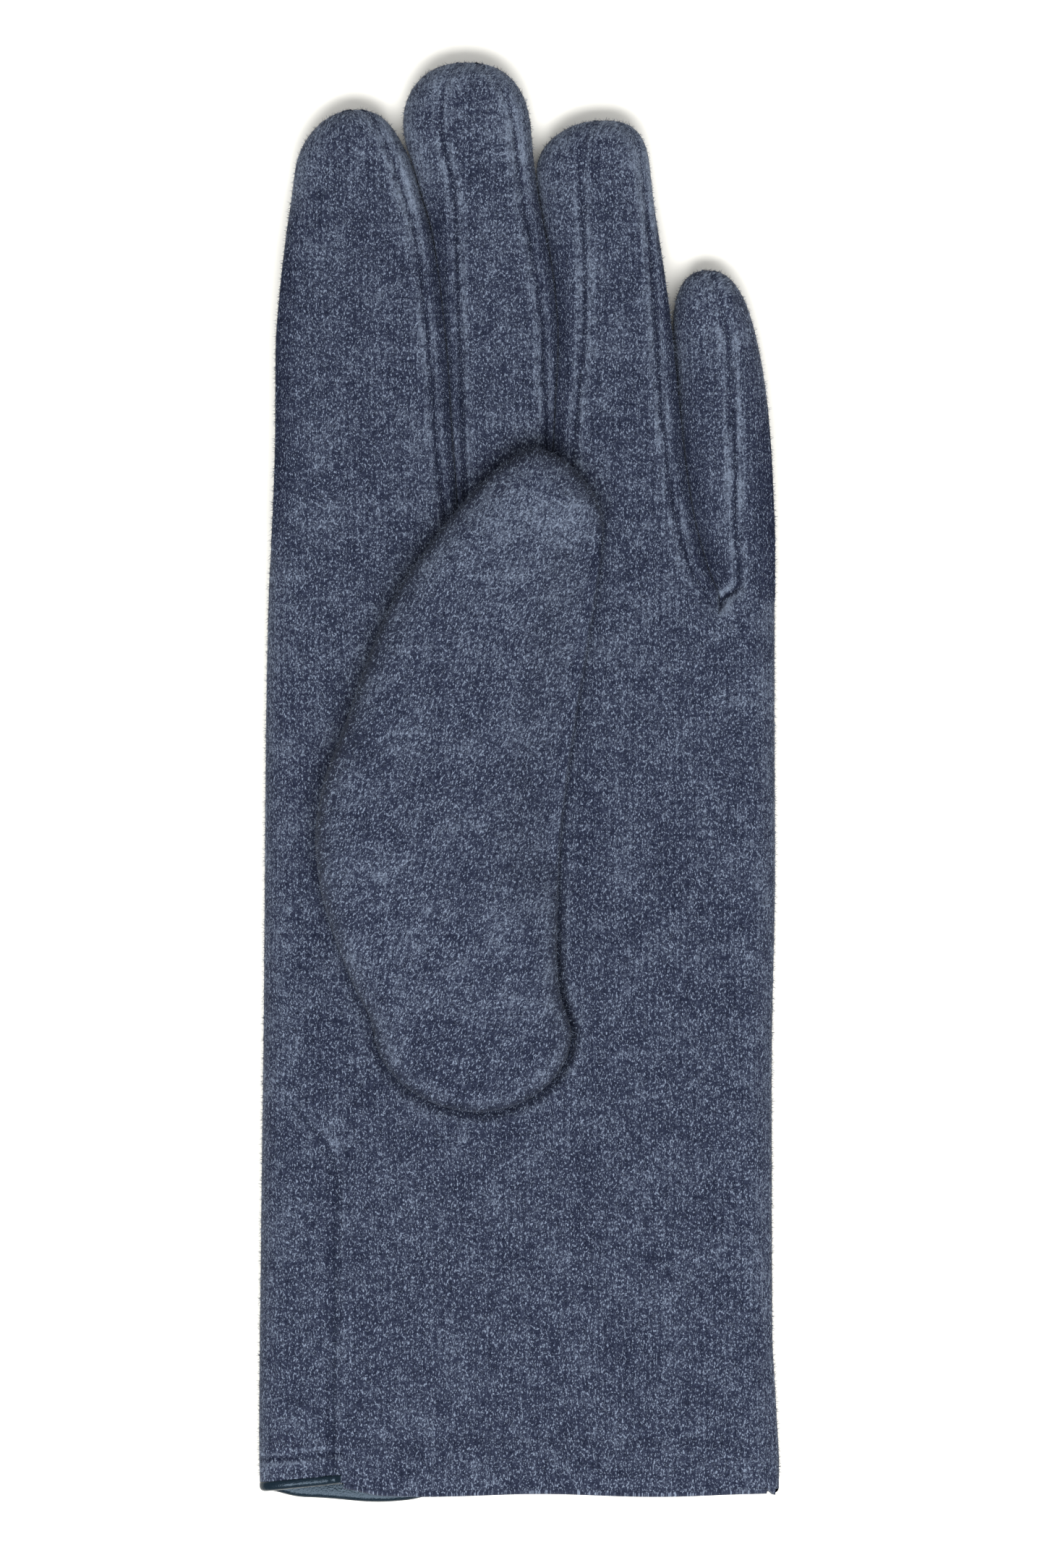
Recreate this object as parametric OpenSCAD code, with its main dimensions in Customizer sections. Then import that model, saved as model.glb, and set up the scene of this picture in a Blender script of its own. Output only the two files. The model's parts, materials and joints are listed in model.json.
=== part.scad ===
// A left-hand knitted glove, lying flat on its back with the palm up.
// X runs from the index-finger edge (-) to the little-finger edge (+), Y from the cuff to the
// fingertips and Z up through the palm. The origin is on the face the glove rests on, halfway
// along its length. Each finger bends at its middle knuckle, and the folded thumb swings and lifts.

/* [Hand] */
// Length from the cuff edge to the two tall finger forks
palm_length = 168; // [145:1:200]
// Flat width across the palm
palm_width = 90; // [80:1:104]
// Flat width at the cuff edge
cuff_width = 92; // [82:1:110]
// Thickness of the felted knit
fabric = 2; // [1.2:0.1:2.6]
// Height of the room inside the hand and fingers
hand_room = 6.4; // [5:0.1:9]

/* [Fingers] */
// Length of the index finger above its fork
index_length = 77.7; // [62:0.1:94]
// Length of the middle finger above its fork
middle_length = 86; // [70:0.1:104]
// Length of the ring finger above the fork beside the middle finger
ring_length = 75.8; // [62:0.1:94]
// Length of the little finger above its own fork
little_length = 58; // [48:0.1:70]
// Flat width of the index finger at its knuckle
index_width = 31.2; // [25:0.1:38]
// Flat width of the middle finger at its knuckle
middle_width = 18; // [15:0.1:22]
// Flat width of the ring finger at its knuckle
ring_width = 22.7; // [18:0.1:28]
// Flat width of the little finger at its knuckle
little_width = 15; // [12:0.1:19]
// How much lower the fork beside the little finger is
little_fork_drop = 8.7; // [4:0.1:14]
// Height of a knuckle above the fork, for the index, middle and ring fingers
knuckle_rise = 22; // [17:0.5:28]
// Height of the little finger's knuckle above its fork
little_knuckle_rise = 17.5; // [14:0.5:22]
// Space between neighbouring fingers
finger_gap = 0.9; // [0.7:0.1:1.2]

/* [Thumb] */
// Length from the thumb's turning point to its tip
thumb_length = 74.5; // [60:0.5:88]
// Flat width of the thumb where it turns
thumb_width = 42; // [34:0.5:48]
// Flat width of the thumb below its round tip
thumb_tip_width = 27; // [22:0.5:34]
// Height of the room inside the thumb
thumb_room = 5; // [4.6:0.1:7]
// Distance from the turning point to the thumb's own knuckle
thumb_knuckle = 30; // [25:0.5:36]
// Length of the oval sewn into the palm, from the turning point down
gusset_length = 44.5; // [36:0.5:54]
// Distance from the cuff edge to the turning point
thumb_height = 113; // [100:0.5:125]

/* [Cuff] */
// Width of the leather-look binding on the back's cuff edge
binding_width = 5; // [3:0.5:8]
// Thickness of the binding on each face of the knit
binding_skin = 0.5; // [0.3:0.1:0.6]
// Depth of the palm's turned-in hem
hem_depth = 11; // [8:0.5:16]
// Thickness of the hem's turned-in layer
hem_layer = 1; // [0.8:0.1:1.4]
// How far the back wraps over the index edge onto the palm
wrap_width = 14.5; // [10:0.5:20]
// Distance from the cuff edge to the top of the side seam
wrap_height = 62; // [50:1:70]

/* [Stitches] */
// Length of one stitch
stitch = 1.9; // [1.2:0.1:2.4]
// Distance from one stitch to the next
stitch_pitch = 2.9; // [2.6:0.1:4]
// Thickness of the thread
thread = 0.4; // [0.3:0.05:0.5]

/* [Hidden] */
$fn = 96;
big = 400;
overcut = 1;
knit_blue = [0.20, 0.24, 0.33];
knit_shade = [0.17, 0.20, 0.28];
leather_blue = [0.07, 0.11, 0.17];
thread_blue = [0.30, 0.36, 0.46];

// Heights of the layers.
flat_height = 2 * fabric + hand_room;
top_layer = flat_height - fabric;
thumb_clearance = 0.4;
thumb_floor = flat_height + thumb_clearance;
thumb_height_z = 2 * fabric + thumb_room;
hinge_clearance = 0.2;
palm_setback = 1;

// The length is centred on the origin, from the cuff edge to the middle fingertip.
widest_drop = 20;
cuff_y = -(palm_length + middle_length) / 2;
fork_y = cuff_y + palm_length;
little_fork_y = fork_y - little_fork_drop;
widest_y = fork_y - widest_drop;

// The fingers stand side by side along the knuckles, from the index finger to the little finger.
INDEX = 0;
MIDDLE = 1;
RING = 2;
LITTLE = 3;
widths = [index_width, middle_width, ring_width, little_width];
row_shift = 0.5;
row_left = row_shift - (index_width + middle_width + ring_width + little_width) / 2;
row_edges = [
    row_left,
    row_left + index_width,
    row_left + index_width + middle_width,
    row_left + index_width + middle_width + ring_width,
    row_left + index_width + middle_width + ring_width + little_width
];
forks = [fork_y, fork_y, fork_y, little_fork_y];
fork_shifts = [1.3, 0, 2.4];
middle_knuckle_lead = 3;
rises = [knuckle_rise, knuckle_rise + middle_knuckle_lead, knuckle_rise, little_knuckle_rise];
lengths = [index_length, middle_length, ring_length, little_length];
// Sideways lean from knuckle to tip, as a share of the length, and the tip's share of the width.
leans = [-0.045, -0.115, -0.083, -0.10];
tip_shares = [0.70, 1.10, 0.90, 0.90];
tip_roundness = 0.95;
little_outset = 0.9;

function knuckle_x(i) = (row_edges[i] + row_edges[i + 1]) / 2 + (i == LITTLE ? little_outset : 0);
function knuckle_y(i) = forks[i] + rises[i];
function turn(i) = atan(-leans[i]);
function reach(i) = (lengths[i] - rises[i]) / cos(turn(i));
function half_width(i) = (widths[i] - finger_gap) / 2;
function tip_half_width(i) = half_width(i) * tip_shares[i];
// A point of finger i's own frame, whose Y runs along the finger from its knuckle, in the plan.
function plan(i, p) = [
    knuckle_x(i) + p.x * cos(turn(i)) - p.y * sin(turn(i)),
    knuckle_y(i) + p.x * sin(turn(i)) + p.y * cos(turn(i))
];
// Outline of one moving finger, drawn in by inset, with an elliptical tip.
function finger_outline(i, inset) = let (
    base = half_width(i) - inset,
    shoulder = tip_half_width(i) - inset,
    tip = reach(i) - inset,
    dome = tip_half_width(i) * tip_roundness - inset
) concat(
    [[base, hinge_clearance], [shoulder, tip - dome]],
    [for (a = [10:10:170]) [shoulder * cos(a), tip - dome + dome * sin(a)]],
    [[-shoulder, tip - dome], [-base, hinge_clearance]]
);

// The hand's edges, from the cuff to the knuckles, drawn in by inset.
function index_edge(inset) = [
    [-cuff_width / 2 + inset, cuff_y],
    [-palm_width / 2 + inset, widest_y],
    plan(INDEX, [-half_width(INDEX) + inset, -hinge_clearance])
];
function little_edge(inset) = [
    plan(LITTLE, [half_width(LITTLE) - inset, -hinge_clearance]),
    [palm_width / 2 - inset, widest_y],
    [cuff_width / 2 - inset, cuff_y]
];
// The slit between finger i and the next, from one knuckle down to the fork and up again.
function slit(i) = let (
    fork_x = row_edges[i + 1] + fork_shifts[i],
    bottom = forks[i + 1] + fabric
) [
    plan(i, [half_width(i), -hinge_clearance]),
    [fork_x - finger_gap / 2, bottom],
    [fork_x + finger_gap / 2, bottom],
    plan(i + 1, [-half_width(i + 1), -hinge_clearance])
];

module hand_outline() {
    polygon(concat(index_edge(0), slit(INDEX), slit(MIDDLE), slit(RING), little_edge(0)));
}

module in_finger(i) {
    translate([knuckle_x(i), knuckle_y(i), 0]) rotate([0, 0, turn(i)]) children();
}

module layer(from_z, to_z) {
    translate([0, 0, from_z]) linear_extrude(to_z - from_z) children();
}

// The plan from the cuff edge up to a height above it.
module cuff_zone(from_y, to_y) {
    translate([-big / 2, cuff_y + from_y]) square([big, to_y - from_y]);
}

module wrap_outline() {
    edge = -cuff_width / 2;
    share = wrap_height / (widest_y - cuff_y);
    top_edge = edge + share * (cuff_width - palm_width) / 2;
    polygon([[edge, cuff_y], [top_edge, cuff_y + wrap_height],
        [edge + wrap_width, cuff_y + wrap_height], [edge + wrap_width, cuff_y]]);
}

// ---- Thumb shapes ----
pivot_inset = 31.5;
pivot = [pivot_inset - palm_width / 2, cuff_y + thumb_height];
thumb_lean = 14;
gusset_lean = 6.4;
turn_radius = thumb_width / 2;
turn_clearance = 0.6;
gusset_margin = 0.5;
gusset_radius = turn_radius + gusset_margin;
gusset_cut = 8;
thumb_opening = 6;
thumb_half_tip = thumb_tip_width / 2;

function thumb_half(y) = turn_radius
    + (thumb_half_tip - turn_radius) * y / (thumb_length - thumb_half_tip);

module in_thumb() {
    translate([pivot.x, pivot.y, thumb_floor]) rotate([0, 0, -thumb_lean]) children();
}

module in_gusset() {
    translate(pivot) rotate([0, 0, gusset_lean]) children();
}

module thumb_root_outline(inset) {
    circle(turn_radius - inset);
    polygon([[-turn_radius + inset, 0], [turn_radius - inset, 0],
        [thumb_half(thumb_knuckle) - inset, thumb_knuckle - hinge_clearance],
        [-thumb_half(thumb_knuckle) + inset, thumb_knuckle - hinge_clearance]]);
}

module thumb_tip_outline(inset) {
    base = thumb_half(thumb_knuckle) - inset;
    tip = thumb_half_tip - inset;
    shoulder = thumb_length - thumb_half_tip;
    polygon([[-base, thumb_knuckle + hinge_clearance], [base, thumb_knuckle + hinge_clearance],
        [tip, shoulder], [-tip, shoulder]]);
    translate([0, shoulder]) circle(tip);
}

// The oval of the thumb's base, drawn in by inset: an ellipse that hangs from the turning point.
function gusset_oval(inset) = [
    for (a = [180:5:360]) [(gusset_radius - inset) * cos(a), (gusset_length - inset) * sin(a)]
];

module gusset_outline(inset) {
    difference() {
        polygon(gusset_oval(inset));
        circle(turn_radius + turn_clearance);
        translate([-big / 2, -gusset_cut]) square(big);
    }
}

module thumb_hole() {
    in_gusset() difference() {
        polygon(gusset_oval(fabric));
        circle(turn_radius + turn_clearance + fabric);
    }
}

// ---- Hand panels ----
module palm_panel() {
    color(knit_blue) layer(top_layer, flat_height) difference() {
        hand_outline();
        wrap_outline();
        thumb_hole();
        cuff_zone(-overcut, palm_setback);
    }
}

// The back with its two folded edges and the part that wraps onto the palm, thinned by skin on
// every face so that the binding can close round it.
module back_layers(skin) {
    layer(skin, fabric - skin) difference() {
        hand_outline();
        if (skin > 0) cuff_zone(binding_width, big);
    }
    layer(fabric - skin, top_layer + skin)
        polygon(concat(index_edge(skin), [for (k = [2:-1:0]) index_edge(fabric - skin)[k]]));
    layer(fabric - skin, top_layer)
        polygon(concat(little_edge(skin), [for (k = [2:-1:0]) little_edge(fabric - skin)[k]]));
    layer(top_layer + skin, flat_height - skin) intersection() {
        wrap_outline();
        polygon([index_edge(skin)[0], index_edge(skin)[1], [big, index_edge(skin)[1].y], [big, cuff_y]]);
    }
}

module back_panel() {
    color(knit_blue) {
        difference() {
            back_layers(0);
            layer(-overcut, flat_height + overcut) cuff_zone(-overcut, binding_width);
        }
        intersection() {
            back_layers(binding_skin);
            layer(-overcut, flat_height + overcut) cuff_zone(binding_skin, binding_width);
        }
    }
}

module cuff_binding() {
    color(leather_blue) difference() {
        intersection() {
            back_layers(0);
            layer(-overcut, flat_height + overcut) cuff_zone(0, binding_width);
        }
        intersection() {
            back_layers(binding_skin);
            layer(-overcut, flat_height + overcut) cuff_zone(binding_skin, binding_width + overcut);
        }
    }
}

hem_margin = 1;

module palm_hem() {
    color(knit_shade) layer(top_layer - hem_layer, top_layer) intersection() {
        cuff_zone(palm_setback, hem_depth);
        translate([-cuff_width / 2 + wrap_width, cuff_y])
            square([cuff_width - wrap_width - fabric - hem_margin, hem_depth]);
    }
}

// ---- Fourchettes between the fixed parts of two fingers ----
module fork(i) {
    edge = slit(i);
    color(knit_shade) layer(fabric, top_layer) polygon(concat(edge, [
        edge[3] + [fabric, 0],
        edge[2] + [fabric, -fabric],
        edge[1] - [fabric, fabric],
        edge[0] - [fabric, 0]
    ]));
}

// ---- Moving fingers ----
module palm_face(i) {
    color(knit_blue) in_finger(i) layer(top_layer, flat_height) polygon(finger_outline(i, 0));
}

// One side wall of a finger, from its knuckle to the top of its tip. Side is -1 or 1.
module finger_side(i, side) {
    in_finger(i) layer(fabric, top_layer) intersection() {
        difference() {
            polygon(finger_outline(i, 0));
            polygon(finger_outline(i, fabric));
            translate([-half_width(i) + fabric, -overcut])
                square([2 * (half_width(i) - fabric), 2 * overcut]);
        }
        translate([side < 0 ? -big : 0, 0]) square(big);
    }
}

// The back of a finger. An outer finger's back carries on round its outer edge, on side fold.
module back_face(i, fold = 0) {
    color(knit_blue) {
        in_finger(i) layer(0, fabric) polygon(finger_outline(i, 0));
        if (fold != 0) finger_side(i, fold);
    }
}

module fourchette_arm(i, side) {
    color(knit_shade) finger_side(i, side);
}

// ---- Thumb pieces ----
module thumb_gusset() {
    color(knit_blue) in_gusset() {
        layer(flat_height, thumb_floor + thumb_height_z) difference() {
            gusset_outline(0);
            polygon(gusset_oval(fabric));
        }
        layer(thumb_floor + thumb_height_z - fabric, thumb_floor + thumb_height_z)
            gusset_outline(0);
    }
}

// Clears the thumb's room where its two parts meet at the knuckle.
module thumb_doorway() {
    half = thumb_half(thumb_knuckle) - fabric;
    translate([-half, thumb_knuckle - overcut]) square([2 * half, 2 * overcut]);
}

module thumb_root() {
    color(knit_blue) in_thumb() {
        layer(0, fabric) thumb_root_outline(0);
        layer(thumb_height_z - fabric, thumb_height_z) thumb_root_outline(0);
        layer(fabric, thumb_height_z - fabric) difference() {
            thumb_root_outline(0);
            thumb_root_outline(fabric);
            translate([-big / 2, -big - thumb_opening]) square(big);
            thumb_doorway();
        }
    }
}

module thumb_tip() {
    color(knit_blue) in_thumb() {
        layer(0, fabric) thumb_tip_outline(0);
        layer(thumb_height_z - fabric, thumb_height_z) thumb_tip_outline(0);
        layer(fabric, thumb_height_z - fabric) difference() {
            thumb_tip_outline(0);
            thumb_tip_outline(fabric);
            thumb_doorway();
        }
    }
}

// ---- Stitches: each row is one node of separate solids ----
seam_x = -cuff_width / 2 + wrap_width;

module stitch_along_x(x, y, z) {
    translate([x, y - thread / 2, z]) cube([stitch, thread, thread]);
}

module side_seam_stitches() {
    color(thread_blue) for (y = [cuff_y + hem_depth + stitch:stitch_pitch:cuff_y + wrap_height - stitch])
        translate([seam_x - thread / 2, y, top_layer - thread]) cube([thread, stitch, thread]);
}

module hem_stitches() {
    color(thread_blue)
        for (x = [seam_x + stitch:2 * stitch_pitch:cuff_width / 2 - fabric - 2 * stitch])
            stitch_along_x(x, cuff_y + hem_depth - hem_margin, top_layer - hem_layer - thread);
}

module binding_stitches() {
    stitch_y = cuff_y + binding_width + hem_margin;
    color(thread_blue) {
        for (x = [-cuff_width / 2 + stitch:stitch_pitch:seam_x - stitch])
            stitch_along_x(x, stitch_y, flat_height);
        for (x = [-cuff_width / 2 + fabric + stitch:stitch_pitch:cuff_width / 2 - fabric - 2 * stitch])
            stitch_along_x(x, stitch_y, fabric);
    }
}

module thumb_seam_stitches() {
    rx = gusset_radius - fabric / 2;
    ry = gusset_length - fabric / 2;
    color(thread_blue) in_gusset() for (a = [205:6:335])
        translate([rx * cos(a), ry * sin(a), top_layer - thread])
            rotate([0, 0, atan2(ry * cos(a), -rx * sin(a))])
                translate([-stitch / 2, -thread / 2, 0]) cube([stitch, thread, thread]);
}

palm_panel();
back_panel();
palm_hem();
cuff_binding();
thumb_gusset();
fork(INDEX);  // fourchette_index_middle
fork(MIDDLE);  // fourchette_middle_ring
fork(RING);  // fourchette_ring_little
palm_face(INDEX);  // index_palm_face
back_face(INDEX, -1);  // index_back_face
fourchette_arm(INDEX, 1);  // index_inner_fourchette
palm_face(MIDDLE);  // middle_palm_face
back_face(MIDDLE);  // middle_back_face
fourchette_arm(MIDDLE, -1);  // middle_index_side_fourchette
fourchette_arm(MIDDLE, 1);  // middle_ring_side_fourchette
palm_face(RING);  // ring_palm_face
back_face(RING);  // ring_back_face
fourchette_arm(RING, -1);  // ring_middle_side_fourchette
fourchette_arm(RING, 1);  // ring_little_side_fourchette
palm_face(LITTLE);  // little_palm_face
back_face(LITTLE, 1);  // little_back_face
fourchette_arm(LITTLE, -1);  // little_inner_fourchette
thumb_root();
thumb_tip();
side_seam_stitches();
hem_stitches();
binding_stitches();
thumb_seam_stitches();
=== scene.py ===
"""A left-hand glove of brushed and felted knit, lying on its back with the thumb folded over the palm."""
import json
import math

import bmesh
import bpy
import numpy as np
from mathutils import Matrix, Vector, kdtree, noise


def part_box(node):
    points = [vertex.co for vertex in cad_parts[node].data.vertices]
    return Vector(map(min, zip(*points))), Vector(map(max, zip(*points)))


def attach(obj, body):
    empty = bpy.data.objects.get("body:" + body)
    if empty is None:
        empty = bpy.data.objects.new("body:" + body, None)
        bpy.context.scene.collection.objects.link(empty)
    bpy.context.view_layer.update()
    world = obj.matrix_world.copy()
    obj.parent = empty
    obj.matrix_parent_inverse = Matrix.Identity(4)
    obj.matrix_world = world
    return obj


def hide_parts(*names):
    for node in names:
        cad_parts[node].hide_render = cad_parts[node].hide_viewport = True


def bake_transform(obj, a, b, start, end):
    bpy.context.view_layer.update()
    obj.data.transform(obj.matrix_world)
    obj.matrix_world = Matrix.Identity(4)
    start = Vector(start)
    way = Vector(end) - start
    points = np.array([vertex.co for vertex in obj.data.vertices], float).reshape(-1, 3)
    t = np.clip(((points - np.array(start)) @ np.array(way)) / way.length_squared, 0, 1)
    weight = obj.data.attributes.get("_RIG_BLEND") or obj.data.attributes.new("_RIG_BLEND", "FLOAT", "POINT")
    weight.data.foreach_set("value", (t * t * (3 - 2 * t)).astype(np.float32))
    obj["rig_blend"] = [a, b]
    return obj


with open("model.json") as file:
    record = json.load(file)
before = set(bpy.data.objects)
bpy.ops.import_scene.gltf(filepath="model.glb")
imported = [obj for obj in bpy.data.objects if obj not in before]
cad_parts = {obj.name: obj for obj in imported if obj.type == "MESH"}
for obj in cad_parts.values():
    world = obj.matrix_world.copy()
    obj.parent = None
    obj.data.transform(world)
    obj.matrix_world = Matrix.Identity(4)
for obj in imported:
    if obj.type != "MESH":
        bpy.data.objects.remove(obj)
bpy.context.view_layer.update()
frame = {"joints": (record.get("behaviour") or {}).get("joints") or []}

# ---------------------------------------------------------------- sizes
# Outlines are drawn in millimetres: x from the glove's middle line, up from the cuff edge, z from
# the table. PACE turns a drawn millimetre into metres, so that the drawing fits the frame.
DRAWN_LENGTH = 254.0
CUFF_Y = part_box("back_panel")[0].y
PACE = (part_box("middle_palm_face")[1].y - CUFF_Y) / DRAWN_LENGTH


def up_of(y):
    """A frame height along the glove, as drawn millimetres above the cuff edge."""
    return (y - CUFF_Y) / PACE


def thick_of(z):
    return z / PACE


FORK = up_of(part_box("fourchette_middle_ring")[0].y)
LITTLE_FORK = up_of(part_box("fourchette_ring_little")[0].y)
PALM_TOP = thick_of(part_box("palm_panel")[1].z) - 2.0
THUMB_BED = thick_of(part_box("thumb_tip")[0].z) + 0.15
THUMB_TOP = thick_of(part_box("thumb_tip")[1].z) - 1.2
MIDDLE_Z = 4.6
FORK_Z = 7.6
CLOTH = 1.25
EDGE_ROUND = 5.2
BACK_ROUND = 4.4
ROW_STEP = 0.95
DOME_ROWS = 14
FINGER_GAP = 0.05
# Where each layer's flat cloth is laid out, so that no two layers show the same stretch of wool.
BACK_PLACE = 200
THUMB_UNDER_PLACE = 300
TRIM_PLACE = 400

# ---------------------------------------------------------------- curves and distances


def smooth_curve(points):
    """A function that runs smoothly through (place, value) points, without swinging past them."""
    places = np.array([p for p, _ in points], float)
    values = np.array([v for _, v in points], float)
    rates = np.diff(values) / np.diff(places)
    slopes = np.zeros(len(places))
    for i in range(1, len(places) - 1):
        if rates[i - 1] * rates[i] > 0:
            slopes[i] = 2 * rates[i - 1] * rates[i] / (rates[i - 1] + rates[i])
    slopes[0], slopes[-1] = rates[0], rates[-1]

    def at(place):
        place = np.clip(place, places[0], places[-1])
        i = np.clip(np.searchsorted(places, place) - 1, 0, len(places) - 2)
        step = places[i + 1] - places[i]
        t = (place - places[i]) / step
        start = values[i] * (1 + 2 * t) * (1 - t) ** 2 + slopes[i] * step * t * (1 - t) ** 2
        end = values[i + 1] * t * t * (3 - 2 * t) + slopes[i + 1] * step * t * t * (t - 1)
        return start + end

    return at


def soft_step(t):
    t = np.clip(t, 0, 1)
    return t * t * (3 - 2 * t)


def bell(gap, width):
    """1 at no gap, fading away over about that width on both sides."""
    return np.exp(-((gap / width) ** 2))


def pillow(t, power=2.2):
    """Rises from 0 at an edge to 1 at one edge-round in, like the side of a soft roll."""
    inside = 1 - np.clip(t, 0, 1)
    return (1 - inside**power) ** (1 / power)


def waves(x, up, size, seed):
    """Gentle unevenness between -1 and 1, over patches of that size."""
    values = [noise.noise(Vector((a / size, b / size, seed))) for a, b in zip(x, up)]
    return np.array(values)


class Lines:
    """Lines in the plan, each with a weight, that tell how far any point is from the nearest one."""

    def __init__(self, lines):
        self.starts, self.ends, self.weights = [], [], []
        for points, weight in lines:
            points = np.array(points, float)
            self.starts.append(points[:-1])
            self.ends.append(points[1:])
            self.weights.append(np.broadcast_to(weight, len(points))[:-1])
        self.starts = np.concatenate(self.starts)
        self.ends = np.concatenate(self.ends)
        self.weights = np.concatenate(self.weights)
        self.tree = kdtree.KDTree(len(self.starts))
        for i, point in enumerate((self.starts + self.ends) / 2):
            self.tree.insert((point[0], point[1], 0), i)
        self.tree.balance()

    def near(self, x, up):
        """The distance to the nearest line, and that line's weight there."""
        points = np.stack([x, up], 1)
        found = [[i for _, i, _ in self.tree.find_n((a, b, 0), 4)] for a, b in points]
        found = np.array(found)
        best = np.full(len(points), 1e9)
        weight = np.zeros(len(points))
        for column in found.T:
            along = self.ends[column] - self.starts[column]
            length = np.maximum((along**2).sum(1), 1e-12)
            t = np.clip(((points - self.starts[column]) * along).sum(1) / length, 0, 1)
            gap = np.linalg.norm(points - self.starts[column] - along * t[:, None], axis=1)
            nearer = gap < best
            best = np.where(nearer, gap, best)
            weight = np.where(nearer, self.weights[column], weight)
        return best, weight


# ---------------------------------------------------------------- outlines of the glove
INDEX_EDGE = smooth_curve([
    (-8, -45.7), (10, -46.0), (45, -45.7), (85, -45.2), (135, -44.8), (160, -44.3), (175, -43.5),
    (188, -43.1), (203, -43.0), (213, -42.3), (223, -41.2), (232, -40.0), (246, -38.4)])
INDEX_MIDDLE = smooth_curve([
    (-8, -14.0), (120, -11.5), (168, -10.4), (176, -10.9), (188, -11.8), (201, -12.6), (212, -13.7),
    (223, -15.2), (233, -18.0), (242, -20.6), (254, -22.0)])
MIDDLE_RING = smooth_curve([
    (-8, 7.5), (120, 7.0), (168, 6.2), (180, 5.8), (190, 6.2), (205, 6.9), (214, 6.3), (226, 4.2),
    (233, 3.1), (242, 2.2), (254, 2.0)])
RING_LITTLE = smooth_curve([
    (-8, 29.5), (60, 30.5), (120, 33.5), (150, 35.3), (159, 35.4), (164, 33.6), (173, 31.1),
    (182, 29.6), (193, 28.4), (207, 27.0), (219, 25.4), (229, 23.9), (244, 22.3)])
LITTLE_EDGE = smooth_curve([
    (-8, 46.0), (5, 46.0), (16, 45.5), (30, 44.8), (76, 44.7), (112, 45.3), (142, 45.2), (168, 45.2),
    (180, 44.8), (190, 44.2), (199, 43.2), (207, 41.6), (218, 39.4)])
# The seams of the side strips, as shares of a finger's width, from the fork to the tip. Below a fork
# they draw together on its line, so that the strip runs out in a point.
EDGE_SHARE = 0.04
BACK_SHARE = 0.13
CROTCH = 1.6
FINGERS = [
    dict(name="index", left=INDEX_EDGE, right=INDEX_MIDDLE, forks=(0, FORK), shoulder=234.5,
         tip=up_of(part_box("index_palm_face")[1].y), tip_x=-28.7, square=2.2, cut=FORK + 5, cells=(9, 26, 9),
         front_left=[(-8, 0.41), (57, 0.41), (61, 0.38), (66, 0.27), (71, 0.13), (77, EDGE_SHARE),
                     (246, EDGE_SHARE)],
         front_right=[(6, 0.93), (182, 0.91), (200, 0.9), (223, 0.88), (238, 0.84), (246, 0.8)]),
    dict(name="middle", left=INDEX_MIDDLE, right=MIDDLE_RING, forks=(FORK, FORK), shoulder=240.0,
         tip=up_of(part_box("middle_palm_face")[1].y), tip_x=-9.3, square=2.3, cut=FORK + 5, cells=(10, 18, 7),
         front_left=[(6, 0.08), (190, 0.1), (211, 0.14), (223, 0.2), (233, 0.29), (244, 0.3),
                     (254, 0.3)],
         front_right=[(6, 0.94), (190, 0.92), (202, 0.87), (220, 0.85), (240, 0.87), (254, 0.8)]),
    dict(name="ring", left=MIDDLE_RING, right=RING_LITTLE, forks=(FORK, LITTLE_FORK), shoulder=233.0,
         tip=up_of(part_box("ring_palm_face")[1].y), tip_x=15.0, square=2.35, cut=FORK + 5, cells=(11, 17, 8),
         front_left=[(6, 0.12), (190, 0.17), (206, 0.22), (222, 0.32), (234, 0.38), (244, 0.36)],
         front_right=[(6, 0.88), (180, 0.865), (200, 0.85), (214, 0.88), (232, 0.93), (244, 0.9)]),
    dict(name="little", left=RING_LITTLE, right=LITTLE_EDGE, forks=(LITTLE_FORK, 0), shoulder=203.0,
         tip=up_of(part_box("little_palm_face")[1].y), tip_x=33.3, square=2.45,
         cut=LITTLE_FORK + 4, cells=(11, 8, 8),
         front_left=[(1.8, 0.36), (165, 0.46), (173, 0.5), (182, 0.57), (196, 0.6), (205, 0.66), (218, 0.6)],
         front_right=[(-8, 1 - EDGE_SHARE), (218, 1 - EDGE_SHARE)]),
]


def share_line(points, fork, hand, side):
    """A seam's share of its finger's width at each height. A first point above 0 starts at the fork."""
    if points[0][0] < 0 or not fork:
        return smooth_curve(points)
    far = 1 if hand else 0
    inward = lambda share: abs(far - share)
    below = [(-8, inward(0.16)), (fork - 25, inward(0.16)), (fork - CROTCH - 5, inward(0.07)),
             (fork - CROTCH, inward(0.012)), (fork - CROTCH + 0.5, inward(0.035)),
             (fork, inward(0.062 if side == "front" else 0.04))]
    return smooth_curve(below + [(fork + points[0][0], points[0][1])] + points[1:])


for finger in FINGERS:
    finger["seams"] = {"front": [], "back": []}
    for hand, points in enumerate((finger["front_left"], finger["front_right"])):
        fork = finger["forks"][hand]
        share = 1 - BACK_SHARE if hand else BACK_SHARE
        finger["seams"]["front"].append(share_line(points, fork, hand, "front"))
        rear = [(6 if fork else -8, share), (finger["tip"], share)]
        finger["seams"]["back"].append(share_line(rear, fork, hand, "back"))


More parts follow.
